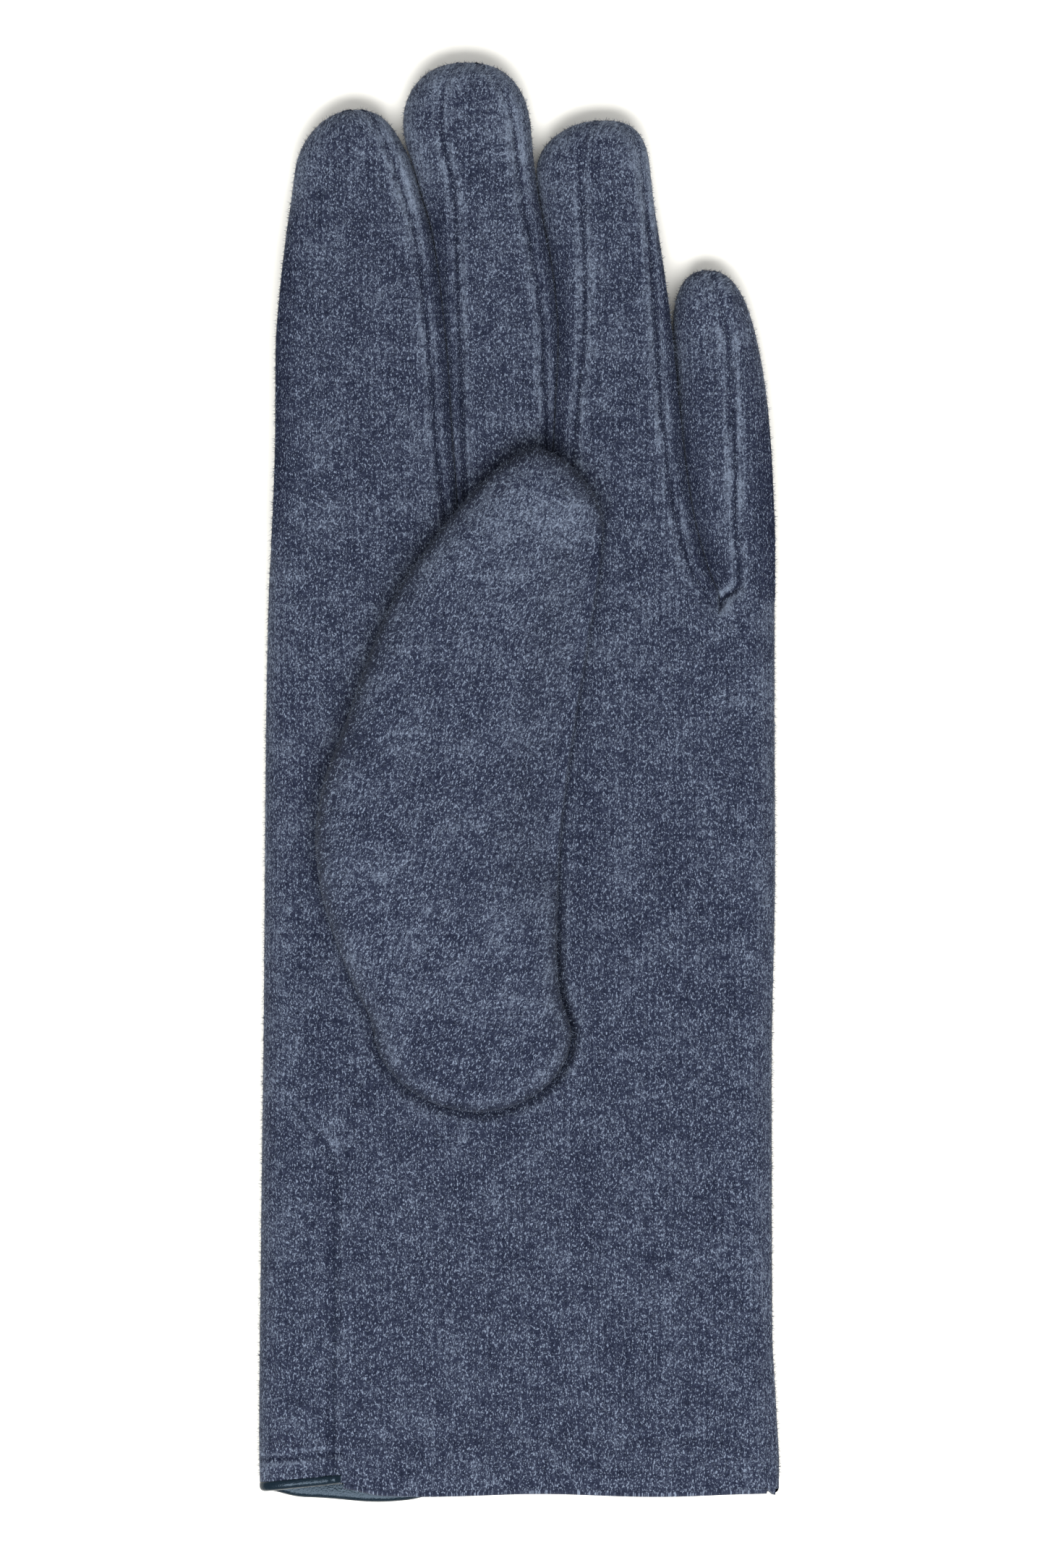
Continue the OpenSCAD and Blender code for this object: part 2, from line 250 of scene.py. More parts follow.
def finger_edges(finger, up):
    """The left and right edge of a finger's column at a height."""
    up = np.atleast_1d(np.asarray(up, float))
    left, right = finger["left"](up), finger["right"](up)
    left = left + FINGER_GAP * soft_step((up - finger["forks"][0]) / 4) * (finger["forks"][0] > 0)
    right = right - FINGER_GAP * soft_step((up - finger["forks"][1]) / 4) * (finger["forks"][1] > 0)
    t = np.clip((up - finger["shoulder"]) / (finger["tip"] - finger["shoulder"]), 0, 1)
    middle = (left + right) / 2
    top = float(finger["left"](finger["tip"]) + finger["right"](finger["tip"])) / 2
    half = (right - left) / 2 * (1 - t ** finger["square"]) ** (1 / finger["square"])
    middle = middle + (finger["tip_x"] - top) * t * t
    return middle - half, middle + half


def rows_of(finger):
    """The heights of a finger column's rows, from the cuff edge to the tip."""
    palm = np.linspace(0, LITTLE_FORK, round(LITTLE_FORK / ROW_STEP))
    forks = np.linspace(LITTLE_FORK, FORK, 11)[1:]
    free = np.linspace(FORK, finger["shoulder"], round((finger["shoulder"] - FORK) / ROW_STEP))[1:]
    turn = np.linspace(0, math.pi / 2, DOME_ROWS)[1:]
    dome = finger["shoulder"] + (finger["tip"] - finger["shoulder"]) * np.sin(turn)
    return np.concatenate([palm, forks, free, dome])


def finger_outline(finger):
    """The free outline of a finger: up one side from its fork, over the tip and down the other."""
    step = 0.4
    starts = [fork if fork else -8 for fork in finger["forks"]]
    turn = np.linspace(0, math.pi / 2, 40)
    dome = finger["shoulder"] + (finger["tip"] - finger["shoulder"]) * np.sin(turn)
    sides = []
    for side, start in enumerate(starts):
        up = np.concatenate([np.arange(start, finger["shoulder"], step), dome])
        sides.append(np.stack([finger_edges(finger, up)[side], up], 1))
    return np.concatenate([sides[0], sides[1][::-1]])


def edge_height(finger, side, up):
    """The height of a finger's edge line: halfway up, or higher where two fingers press together."""
    fork = finger["forks"][side]
    if not fork:
        return MIDDLE_Z + 0 * up
    lift = soft_step((up - fork + 2) / 5) * soft_step((finger["shoulder"] - up) / 20)
    return MIDDLE_Z + (FORK_Z - MIDDLE_Z) * lift


def outline_of(finger):
    """A finger's free outline with the height of its edge line at each point."""
    points = finger_outline(finger)
    middle = len(points) // 2
    ups = points[:, 1]
    heights = np.where(np.arange(len(points)) < middle + 1,
                       edge_height(finger, 0, ups), edge_height(finger, 1, ups))
    return points, heights


OUTLINE = Lines([outline_of(finger) for finger in FINGERS])

# ---------------------------------------------------------------- outline of the thumb
THUMB_LEFT = smooth_curve([
    (60, -24.0), (83, -25.8), (91, -29.3), (100, -32.8), (109, -35.2), (117, -35.9), (125, -34.8),
    (137, -30.6), (149, -26.4), (160, -21.6), (168, -16.2), (173, -12.4), (186, -4.0)])
THUMB_RIGHT = smooth_curve([
    (60, 10.2), (80, 9.9), (84, 9.0), (90, 7.2), (96, 6.7), (108, 6.9), (118, 7.5), (132, 9.2),
    (146, 11.4), (158, 13.3), (167, 14.6), (173, 15.0), (186, 15.0)])
THUMB = dict(bottom=68.4, low_shoulder=83.0, high_shoulder=171.5, tip=185.4, bottom_x=-7.4, tip_x=3.0)
THUMB_ROUND = 6.2
THUMB_LEAN = math.radians(14)
THUMB_SOFT_ROUND = 15.0
SEWN_TOP_LEFT = 100.0
SEWN_TOP_RIGHT = 122.0
GUSSET_CUT = 92.0
THUMB_CUT = 130.5


def thumb_edges(up):
    """The left and right edge of the thumb at a height."""
    up = np.atleast_1d(np.asarray(up, float))
    low = np.maximum(up, THUMB["low_shoulder"])
    left, right = THUMB_LEFT(low), THUMB_RIGHT(low)
    over = np.clip((up - THUMB["high_shoulder"]) / (THUMB["tip"] - THUMB["high_shoulder"]), 0, 1)
    under = np.clip((THUMB["low_shoulder"] - up) / (THUMB["low_shoulder"] - THUMB["bottom"]), 0, 1)
    half = (right - left) / 2 * (1 - over**1.85) ** (1 / 1.85) * (1 - under**1.95) ** (1 / 1.95)
    middle = (left + right) / 2
    top = float(THUMB_LEFT(THUMB["tip"]) + THUMB_RIGHT(THUMB["tip"])) / 2
    middle = middle + (THUMB["tip_x"] - top) * over**2 + (THUMB["bottom_x"] - middle) * under
    return middle - half, middle + half


def thumb_rows():
    turn = np.linspace(0, math.pi / 2, DOME_ROWS)
    low = THUMB["low_shoulder"] - (THUMB["low_shoulder"] - THUMB["bottom"]) * np.sin(turn[::-1])
    high = THUMB["high_shoulder"] + (THUMB["tip"] - THUMB["high_shoulder"]) * np.sin(turn)
    span = THUMB["high_shoulder"] - THUMB["low_shoulder"]
    free = np.linspace(THUMB["low_shoulder"], THUMB["high_shoulder"], round(span / ROW_STEP))
    return np.concatenate([low, free[1:-1], high])


THUMB_ROWS = thumb_rows()
thumb_sides = thumb_edges(THUMB_ROWS)
THUMB_OUTLINE = Lines([
    (np.stack([thumb_sides[0], THUMB_ROWS], 1), soft_step((SEWN_TOP_LEFT - THUMB_ROWS) / 16)),
    (np.stack([thumb_sides[1], THUMB_ROWS], 1), soft_step((SEWN_TOP_RIGHT - THUMB_ROWS) / 18)),
])

# How dark the painted shade along each side of the thumb's outline is, from the bottom to the tip. The palm's
# groove round the sewn part also takes its depth from it.
LEFT_SHADE = smooth_curve([(60, 0.8), (76, 0.75), (84, 0.6), (96, 0.3), (108, 0.6), (118, 1.15), (190, 1.25)])
RIGHT_SHADE = smooth_curve([(60, 0.8), (72, 0.9), (80, 1.3), (90, 1.0), (100, 0.55), (112, 0.2), (120, 0.0),
                            (160, 0.0), (164, 0.5), (168, 1.2), (190, 1.3)])
THUMB_SHADE = Lines([
    (np.stack([thumb_sides[0], THUMB_ROWS], 1), LEFT_SHADE(THUMB_ROWS)),
    (np.stack([thumb_sides[1], THUMB_ROWS], 1), RIGHT_SHADE(THUMB_ROWS)),
])

# ---------------------------------------------------------------- seams
SEAM_DEPTH = 0.6
SEAM_WIDTH = 0.75
HEM_DEPTH = up_of(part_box("palm_hem")[1].y)
PALM_SETBACK = up_of(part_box("palm_panel")[0].y)
FOLD = 1.15
STITCH_UP = 5.2
WRAP_TOP = 72.0


def seam_lines(side):
    """Every sewn line on the front or the back, with how deeply it is drawn in."""
    lines = []
    for finger in FINGERS:
        for hand, fork in enumerate(finger["forks"]):
            if finger["name"] == "index" and hand == 0 and side == "front":
                up = np.arange(-4.0, WRAP_TOP, 0.8)
                depth = 0.9 - 0.5 * soft_step((up - 60) / 12)
            elif fork:
                up = np.arange(fork - CROTCH, finger["tip"], 0.4)
                depth = 1.0 - 0.45 * soft_step((up - finger["tip"] + 16) / 10)
                if finger["name"] != "little":
                    depth = depth * (0.45 + 0.55 * soft_step((up - fork - 1) / 6))
                elif side == "front":
                    depth = depth * (1 + 1.2 * bell(up - fork, 2.2))
            else:
                continue
            left, right = finger_edges(finger, up)
            share = finger["seams"][side][hand](up)
            lines.append((np.stack([left + (right - left) * share, up], 1), depth))
    return lines


FRONT_SEAMS = Lines(seam_lines("front"))
BACK_SEAMS = Lines(seam_lines("back"))
POINT_TOPS = [(INDEX_MIDDLE, FORK), (MIDDLE_RING, FORK), (RING_LITTLE, LITTLE_FORK)]
POINT_LENGTH = 78.0
POINT_DROP = 12.0
BACK_POINTS = Lines([
    (np.stack([edge(up), up], 1), soft_step((up - top + POINT_DROP + POINT_LENGTH) / 6))
    for edge, top in POINT_TOPS
    for up in [np.arange(top - POINT_DROP - POINT_LENGTH, top - POINT_DROP, 0.8)]])


def groove(gap, depth, width=SEAM_WIDTH, bead=0.3):
    """A drawn-in line with a soft bead on both sides of it."""
    dip = bell(gap, width)
    lift = bell(gap - 2.1 * width, width)
    return depth * (bead * lift - dip)


# ---------------------------------------------------------------- heights of the cloth


def inside_thumb(x, up):
    """How far inside the thumb's outline each point is; negative outside it."""
    gap, sewn = THUMB_OUTLINE.near(x, up)
    left, right = thumb_edges(up)
    inside = (x > left) & (x < right) & (up > THUMB["bottom"]) & (up < THUMB["tip"])
    return np.where(inside, gap, -gap), sewn


def strip_seam(x, up):
    """The distance to the stitch line that runs across the wrapped strip above the binding."""
    return np.abs(up - STITCH_UP - 0.5 - (x + 46) / 14.8)


def front_height(x, up, on_edge=None):
    """The height of the palm side, in drawn millimetres."""
    gap, level = OUTLINE.near(x, up)
    if on_edge is not None:
        gap = np.where(on_edge, 0, gap)
    full = 1 - 0.10 * soft_step((60 - up) / 60)
    z = level + (PALM_TOP * full - level) * pillow(gap / EDGE_ROUND)
    z = z + 0.7 * (1 - np.exp(-gap / 7))
    seam, depth = FRONT_SEAMS.near(x, up)
    z = z + groove(seam, depth * SEAM_DEPTH) * soft_step(gap / 1.2)
    inside, sewn = inside_thumb(x, up)
    z = z - 1.3 * soft_step((inside + 1.0) / 5)
    z = z + groove(np.abs(inside), 1.2 * sewn * THUMB_SHADE.near(x, up)[1], 1.0, 0.3)
    palm = soft_step((x + 31.5) / 1.5)
    hem = np.hypot(up - HEM_DEPTH, 0.35 * (np.mod(x, 4.4) - 2.2))
    z = z + palm * (groove(hem, 0.3, 0.9) + 0.2 * soft_step((HEM_DEPTH - up) / 3))
    z = z + (1 - palm) * groove(strip_seam(x, up), 0.9, 0.7)
    free = soft_step(gap / 2.5)
    z = z + free * (0.4 * waves(x, up, 19, 1.7) + 0.16 * waves(x, up, 6.5, 5.2))
    z = z + free * 0.07 * waves(x, up, 2.1, 8.8)
    return z


def back_height(x, up, on_edge=None):
    """The height of the back of the hand, which rests on the table."""
    gap, level = OUTLINE.near(x, up)
    if on_edge is not None:
        gap = np.where(on_edge, 0, gap)
    z = level * (1 - pillow(gap / BACK_ROUND))
    seam, depth = BACK_SEAMS.near(x, up)
    z = z - groove(seam, depth * SEAM_DEPTH * 0.7, bead=0) * soft_step(gap / 1.2)
    point, depth = BACK_POINTS.near(x, up)
    foot = bell(point - 1.9, 0.8)
    z = z + 0.8 * depth * foot
    z = z - groove(np.abs(up - STITCH_UP), 0.35, 0.7, bead=0)
    z = z + 0.25 + 0.35 * soft_step((8 - up) / 6)
    z = z + 0.12 * waves(x, up, 12, 4.4) + 0.05 * waves(x, up, 2.1, 2.2)
    return np.maximum(z, 0.02)


def thumb_levels(x, up):
    """The height of the thumb's own edge line: low where it is sewn in, high where it lies free."""
    left, right = thumb_edges(up)
    share = np.clip((x - left) / np.maximum(right - left, 1e-6), 0, 1)
    flush = soft_step((up - 100) / 16) * soft_step((176 - up) / 10)
    rise = soft_step((up - 74) / 46)
    free_left = 8.6 + 4.4 * rise
    free_right = free_left + (THUMB_BED + 0.1 - free_left) * flush
    return free_left + (free_right - free_left) * share, share, flush


def thumb_front(x, up, on_edge=None):
    gap = THUMB_OUTLINE.near(x, up)[0]
    if on_edge is not None:
        gap = np.where(on_edge, 0, gap)
    level, share, flush = thumb_levels(x, up)
    soft = flush * soft_step((share - 0.5) / 0.35)
    top = 13.8 + (THUMB_TOP - 13.8) * soft_step((up - 66) / 54)
    roll = pillow(gap / THUMB_ROUND, 2.0)
    slope = soft_step(gap / THUMB_SOFT_ROUND) * 0.85 + 0.15 * pillow(gap / THUMB_SOFT_ROUND, 2.0)
    z = level + (top - level) * (roll + (slope - roll) * soft)
    z = z + 0.7 * (1 - np.exp(-gap / 9)) * (1 - soft)
    free = soft_step(gap / 2.5)
    z = z + free * (0.4 * waves(x, up, 16, 11.7) + 0.2 * waves(x, up, 6, 15.2))
    return z + free * 0.07 * waves(x, up, 2.1, 18.8)


def thumb_under(x, up, on_edge=None):
    gap = THUMB_OUTLINE.near(x, up)[0]
    if on_edge is not None:
        gap = np.where(on_edge, 0, gap)
    level = thumb_levels(x, up)[0]
    return level - np.maximum(level - THUMB_BED, 0.1) * pillow(gap / 3)


def wear_and_painted_shade(side, x, up):
    """How much lighter (above 0) or darker (below 0) the nap is: lighter free edges, tips lighter from wear, a
    lighter dotted bead beside each seam, and painted shade in the seams, between pressed fingers, round the
    sewn thumb and in the cuff strip's stitch line.
    """
    seam, depth = (FRONT_SEAMS if side == "front" else BACK_SEAMS).near(x, up)
    gap, level = OUTLINE.near(x, up)
    tuft = 0.8 + 0.9 * waves(x, up, 1.1, 6.1) + 0.5 * waves(x, up, 9, 7.7)
    plain = 1 - 0.75 * ((up < 62) & (x < -28))
    # A lighter dotted bead beside each seam.
    wear_and_shade = depth * 1.15 * plain * tuft * bell(seam - 0.95, 0.7)
    # Painted shade down the middle of each seam, and lighter nap towards the tips from wear.
    wear_and_shade = wear_and_shade - depth * 0.75 * bell(seam, 0.5) + 0.12 * soft_step((up - 90) / 80)
    between = np.clip((level - MIDDLE_Z) / (FORK_Z - MIDDLE_Z), 0, 1)
    # Painted shade in the bands where two fingers press together.
    wear_and_shade = wear_and_shade - 0.95 * between * bell(gap, 2.6)
    # Lighter along the free outer edges, most at the tips.
    wear_and_shade = wear_and_shade + (1 - between) * bell(gap, 4.5) * (0.18 + 0.4 * soft_step((up - 205) / 35))
    if side == "front":
        inside, sewn = inside_thumb(x, up)
        # Painted shade in the palm's groove round the sewn part of the thumb, with a lighter bead outside it.
        shade = bell(inside, 0.9) * THUMB_SHADE.near(x, up)[1] * soft_step(sewn * 2)
        wear_and_shade = wear_and_shade + 0.45 * bell(inside + 1.7, 0.9) * sewn - 1.35 * shade
        # The cuff strip's stitch line: a lighter bead beside it and painted shade in its groove.
        bound = strip_seam(x, up)
        line = 0.9 * bell(bound - 1.1, 0.6) - 1.3 * bell(bound, 0.5)
        wear_and_shade = wear_and_shade + line * (x < -31.4)
    return wear_and_shade


# ---------------------------------------------------------------- building the skin


def shares_of(left, right, cells):
    """Places across a column, as shares of its width: dense at both edges, with a line on each seam."""
    near = [left * (1 - math.cos(math.pi / 2 * k / cells[0])) for k in range(cells[0] + 1)]
    inner = [left + (right - left) * k / cells[1] for k in range(1, cells[1] + 1)]
    far = [1 - (1 - right) * (1 - math.cos(math.pi / 2 * k / cells[2]))
           for k in range(cells[2] - 1, -1, -1)]
    return near + inner + far


def grid_cells(bm, across, along):
    """A fresh grid of that many cells, as its new vertices and faces with their column and row."""
    made = bmesh.ops.create_grid(bm, x_segments=across, y_segments=along, size=1)["verts"]
    places = {v: (round((v.co.x + 1) / 2 * across), round((v.co.y + 1) / 2 * along)) for v in made}
    corners = {f: (min(places[v][0] for v in f.verts), min(places[v][1] for v in f.verts))
               for v in made for f in v.link_faces}
    return places, corners


def lay_out(bm, places, x, up, z, cloth_x, wear_and_shade):
    """Moves a grid's vertices to their drawn places and notes where each lies on the flat cloth."""
    knit = bm.verts.layers.float_vector["knit"]
    wear_and_shade_attr = bm.verts.layers.float["wear_and_shade_attr"]
    index = {place: i for i, place in enumerate(sorted(set(places.values())))}
    for v, place in places.items():
        i = index[place]
        v.co = (x[i] * PACE, CUFF_Y + up[i] * PACE, z[i] * PACE)
        v[knit] = (cloth_x[i], up[i], 0)
        v[wear_and_shade_attr] = wear_and_shade[i]


def side_strip(column, cells):
    """Which of a column's three stretches a cell is in: 0 left strip, 1 middle, 2 right strip."""
    if column < cells[0]:
        return 0
    return 1 if column < cells[0] + cells[1] else 2


def empty_skin():
    """An empty mesh that notes each point's flat place, wear and painted shade, and each cell's sewn piece."""
    bm = bmesh.new()
    bm.verts.layers.float_vector.new("knit")
    bm.verts.layers.float.new("wear_and_shade_attr")
    bm.faces.layers.int.new("panel")
    return bm


def close_skin(bm):
    """Joins a skin's layers along their shared edges."""
    bmesh.ops.remove_doubles(bm, verts=bm.verts, dist=2e-6)
    bmesh.ops.dissolve_degenerate(bm, edges=bm.edges, dist=1e-7)


def add_column(bm, finger, side):
    """One finger with the stretch of the hand below it, as one side's layer of cloth."""
    label = bm.faces.layers.int["panel"]
    rows = rows_of(finger)
    cells = finger["cells"]
    across, along = sum(cells), len(rows) - 1
    left, right = finger_edges(finger, rows)
    seam_left, seam_right = (seam(rows) for seam in finger["seams"][side])
    table = [shares_of(a, b, cells) for a, b in zip(seam_left, seam_right)]
    spots = [(c, r) for c in range(across + 1) for r in range(along + 1)]
    x = np.array([left[r] + (right[r] - left[r]) * table[r][c] for c, r in spots])
    up = np.array([rows[r] for _, r in spots])
    on_edge = np.array([
        r == along
        or (c == 0 and rows[r] >= finger["forks"][0] - 1e-6)
        or (c == across and rows[r] >= finger["forks"][1] - 1e-6)
        for c, r in spots])
    z = (front_height if side == "front" else back_height)(x, up, on_edge)
    edge_z = [edge_height(finger, c > across / 2, np.array(rows[r])) for c, r in spots]
    z = np.where(on_edge, edge_z, z)
    wrap = 2.0 * (np.clip(1 - OUTLINE.near(x, up)[0] / 4, 0, 1)) ** 2
    cloth_x = x + wrap * np.sign(x - (left[0] + right[0]) / 2)
    places, corners = grid_cells(bm, across, along)
    flat_x = cloth_x if side == "front" else BACK_PLACE - cloth_x
    lay_out(bm, places, x, up, z, flat_x, wear_and_painted_shade(side, x, up))
    for face, (column, row) in corners.items():
        middle_up = (rows[row] + rows[row + 1]) / 2
        face[label] = panel_of(finger, side, side_strip(column, cells), middle_up, rows[row + 1])
    if side == "back":
        bmesh.ops.reverse_faces(bm, faces=list(corners))


PANELS = []


def panel_number(name):
    if name not in PANELS:
        PANELS.append(name)
    return PANELS.index(name)


STRIP_NAMES = {
    ("index", 2): ("index_inner_fourchette", "fourchette_index_middle"),
    ("middle", 0): ("middle_index_side_fourchette", "fourchette_index_middle"),
    ("middle", 2): ("middle_ring_side_fourchette", "fourchette_middle_ring"),
    ("ring", 0): ("ring_middle_side_fourchette", "fourchette_middle_ring"),
    ("ring", 2): ("ring_little_side_fourchette", "fourchette_ring_little"),
    ("little", 0): ("little_inner_fourchette", "fourchette_ring_little"),
}


def panel_of(finger, side, strip, up, top):
    """The name, as a number, of the sewn piece that a cell belongs to."""
    name = finger["name"]
    wrapped = (name, strip) in (("index", 0), ("little", 2))
    free = up > finger["cut"]
    if (name, strip) in STRIP_NAMES and up > finger["forks"][0 if strip == 0 else 1] - CROTCH:
        return panel_number(STRIP_NAMES[name, strip][0 if free else 1])
    if side == "back" or wrapped:
        return panel_number(name + "_back_face" if free else "back_panel")
    return panel_number(name + "_palm_face" if free else "palm_panel")


def glove_skin():
    """The hand and fingers as one closed skin, without the thumb."""
    bm = empty_skin()
    for finger in FINGERS:
        for side in ("front", "back"):
            add_column(bm, finger, side)
    close_skin(bm)
    return bm


def thumb_skin():
    """The thumb's tube, closed along its edge line, labelled by the body each stretch moves with."""
    bm = empty_skin()
    label = bm.faces.layers.int["panel"]
    rows = THUMB_ROWS
    cells = (8, 26, 8)
    across, along = sum(cells), len(rows) - 1
    left, right = thumb_sides
    spots = [(c, r) for c in range(across + 1) for r in range(along + 1)]
    table = shares_of(0.16, 0.84, cells)
    for side, height in (("front", thumb_front), ("back", thumb_under)):
        x = np.array([left[r] + (right[r] - left[r]) * table[c] for c, r in spots])
        up = np.array([rows[r] for _, r in spots])
        on_edge = np.array([r in (0, along) or c in (0, across) for c, r in spots])
        z = np.where(on_edge, thumb_levels(x, up)[0], height(x, up, on_edge))
        ends = np.array([r in (0, along) for _, r in spots])
        z = np.where(ends, thumb_levels(np.zeros(len(x)), up)[0], z)
        places, corners = grid_cells(bm, across, along)
        cloth_x = x * math.cos(THUMB_LEAN) - up * math.sin(THUMB_LEAN)
        gap, sewn = THUMB_OUTLINE.near(x, up)
        shade = THUMB_SHADE.near(x, up)[1]
        # Lighter towards the tip and darker towards the bottom.
        wear_and_shade = 0.12 + 0.36 * soft_step((up - 150) / 20) - 0.2 * soft_step((88 - up) / 8)
        # A lighter bead beside the sewn part.
        wear_and_shade = wear_and_shade + sewn * 0.5 * bell(gap - 2, 0.9)
        # Painted shade along the thumb's outline, wider and darker where it lies free.
        wear_and_shade = wear_and_shade - (0.9 + 0.5 * (1 - sewn)) * shade * bell(gap, 0.7 + 0.35 * (1 - sewn))
        # Painted shade of the pinch crease on the thumb's right side.
        wear_and_shade = wear_and_shade - 1.3 * np.exp(-((x - 13.2 - 0.2 * (up - 165)) ** 2 / 0.4 + (up - 165) ** 2 / 4))
        flat_x = cloth_x if side == "front" else THUMB_UNDER_PLACE - cloth_x
        lay_out(bm, places, x, up, z, flat_x, wear_and_shade)
        for face, (column, row) in corners.items():
            middle_up = (rows[row] + rows[row + 1]) / 2
            name = "thumb_gusset" if middle_up < GUSSET_CUT else "thumb_root"
            face[label] = panel_number("thumb_tip" if middle_up > THUMB_CUT else name)
        if side == "back":
            bmesh.ops.reverse_faces(bm, faces=list(corners))
    close_skin(bm)
    return bm


def cuff_rise(name, x, z):
    """How far above the drawn cuff edge each point of a piece's own cuff edge lies."""
    if name == "palm_panel":
        ripple = 0.25 * math.sin(x / 6.5 + 1.0) + 1.0 * float(soft_step((-24 - x) / 7))
        return (PALM_SETBACK + 0.1 + FOLD + ripple) * soft_step((45.8 - x) / 1.2)
    front = soft_step((z - MIDDLE_Z + 3) / 6) * (x < 0)
    sag = 0.9 * bell(x + 25, 8)
    bow = soft_step((x + 20) / 8) + 1.3 * soft_step((-38 - x) / 8) - sag
    return 0.75 + (1 - front) * bow + front * (1.3 + 1.5 * (x + 46) / 14.8)


def panel_piece(skin, name):
    """Cuts one sewn piece out of the skin and gives its cloth a thickness."""
    bm = skin.copy()
    label = bm.faces.layers.int["panel"]
    number = panel_number(name)
    bmesh.ops.delete(bm, geom=[f for f in bm.faces if f[label] != number], context="FACES")
    knit = bm.verts.layers.float_vector["knit"]
    for v in bm.verts:
        up = up_of(v.co.y)
        if up < 12 and name in ("palm_panel", "back_panel"):
            rise = float(cuff_rise(name, v.co.x / PACE, v.co.z / PACE))
            v.co.y += rise * PACE * (1 - up / 12)
            v[knit].y += rise * (1 - up / 12)
    for edge in bm.edges:
        edge.smooth = not edge.is_boundary
    for face in bm.faces:
        face.smooth = True
    piece = as_object(bm, name, felted_knit)
    thicken(piece, CLOTH)
    return piece


def thicken(piece, thickness):
    """Gives a piece of cloth its thickness, inwards from the face that shows."""
    solid = piece.modifiers.new("cloth", "SOLIDIFY")
    solid.thickness = thickness * PACE
    solid.offset = -1


def edge_strip(name, path, outward, profile, finish):
    """A strip sewn over an edge: its profile (up, out) is carried along the edge's path."""
    bm = bmesh.new()
    knit = bm.verts.layers.float_vector.new("knit")
    across, along = len(path) - 1, len(profile) - 1
    places = grid_cells(bm, across, along)[0]
    for v, (column, row) in places.items():
        x, up, z = path[column]
        rise, out = profile[row]
        side = outward[column]
        v.co = ((x + side[0] * out) * PACE, CUFF_Y + (up + rise) * PACE, (z + side[1] * out) * PACE)
        v[knit] = (TRIM_PLACE + x, up + rise - out, 0)
    bmesh.ops.reverse_faces(bm, faces=bm.faces)
    for face in bm.faces:
        face.smooth = True
    return as_object(bm, name, finish)


def cuff_path(name, start, end):
    """The cuff edge of the front, between two x places, with the way out of the cloth at each point."""
    x = np.linspace(start, end, round(abs(end - start) / 0.7))
    z = front_height(x, np.zeros(len(x)))
    along = np.stack([np.gradient(x), np.gradient(z)], 1)
    along /= np.linalg.norm(along, axis=1)[:, None]
    up = np.array([float(cuff_rise(name, a, b)) for a, b in zip(x, z)])
    return np.stack([x, up, z], 1), np.stack([-along[:, 1], along[:, 0]], 1)


def half_round(radius, middle, steps=7):
    """A turned edge: from the outer face round to the inner one."""
    turn = np.linspace(0, math.pi, steps)
    return [(-radius * math.sin(a), middle + radius * math.cos(a)) for a in turn]


def palm_hem_piece():
    """The palm's cuff edge turned in and laid up inside the palm."""
    path, outward = cuff_path("palm_panel", -31.0, 43.8)
    outward = outward * 0 + [0, 1]
    profile = half_round(FOLD, -FOLD, 9)
    inside = np.linspace(1, HEM_DEPTH - PALM_SETBACK - FOLD, 8)
    profile += [(rise, -2 * FOLD - 0.1) for rise in inside]
    piece = edge_strip("palm_hem", path, outward, profile, felted_knit)
    thicken(piece, FOLD)
    return piece


def binding_piece():
    """The leather edge of the back: a narrow roll outside and a facing inside, all the way round."""
    front_x = np.linspace(-31.4, -45.6, 21)
    front_z = front_height(front_x, np.zeros(21))
    back_x = np.concatenate([np.linspace(-45.2, -41, 6), np.linspace(-40, 41, 82),
                             np.linspace(42, 45.4, 8)])
    back_z = back_height(back_x, np.zeros(len(back_x)))
    x = np.concatenate([front_x, [-45.75], back_x, [45.75]])
    z = np.concatenate([front_z, [MIDDLE_Z], back_z, [MIDDLE_Z]])
    along = np.stack([np.gradient(x), np.gradient(z)], 1)
    along /= np.linalg.norm(along, axis=1)[:, None]
    up = np.array([float(cuff_rise("back_panel", a, b)) for a, b in zip(x, z)])
    lift = CLOTH / 2 + 0.22
    profile = [(0.9, -0.25), (0.8, 0.12), (0.5, 0.22)] + half_round(lift, -CLOTH / 2, 9)
    profile += [(1.2, -CLOTH - 0.28), (3.0, -CLOTH - 0.28), (5.0, -CLOTH - 0.22), (5.1, -CLOTH + 0.1)]
    outward = np.stack([along[:, 1], -along[:, 0]], 1)
    return edge_strip("cuff_binding", np.stack([x, up, z], 1), outward, profile, binding_finish)


def stitch_rows(name, lines, pitch=2.6, length=1.7, thick=0.34):
    """Rows of stitches lying along lines of (x, up, z) points, one capsule of thread to a stitch."""
    bm = bmesh.new()
    for points in lines:
        steps = np.concatenate([[0], np.cumsum(np.linalg.norm(np.diff(points, axis=0), axis=1))])
        for place in np.arange(pitch / 2, steps[-1], pitch):
            ends = [np.array([np.interp(place + d, steps, points[:, k]) for k in range(3)])
                    for d in (-length / 2, length / 2)]
            middle = (ends[0] + ends[1]) / 2 * PACE
            seat = Matrix.Translation((middle[0], CUFF_Y + middle[1], middle[2]))
            turn = Vector(ends[1] - ends[0]).to_track_quat("X", "Z").to_matrix().to_4x4()
            shape = Matrix.Diagonal((length * PACE / 2, thick * PACE, thick * PACE, 1))
            bmesh.ops.create_uvsphere(bm, u_segments=8, v_segments=5, radius=1, matrix=seat @ turn @ shape)
    for face in bm.faces:
        face.smooth = True
    return as_object(bm, name, thread_finish)


def on_front(points, sink):
    """Points on the palm side, sunk that far into the nap."""
    x, up = np.array(points, float).T
    return np.stack([x, up, front_height(x, up) - sink], 1)


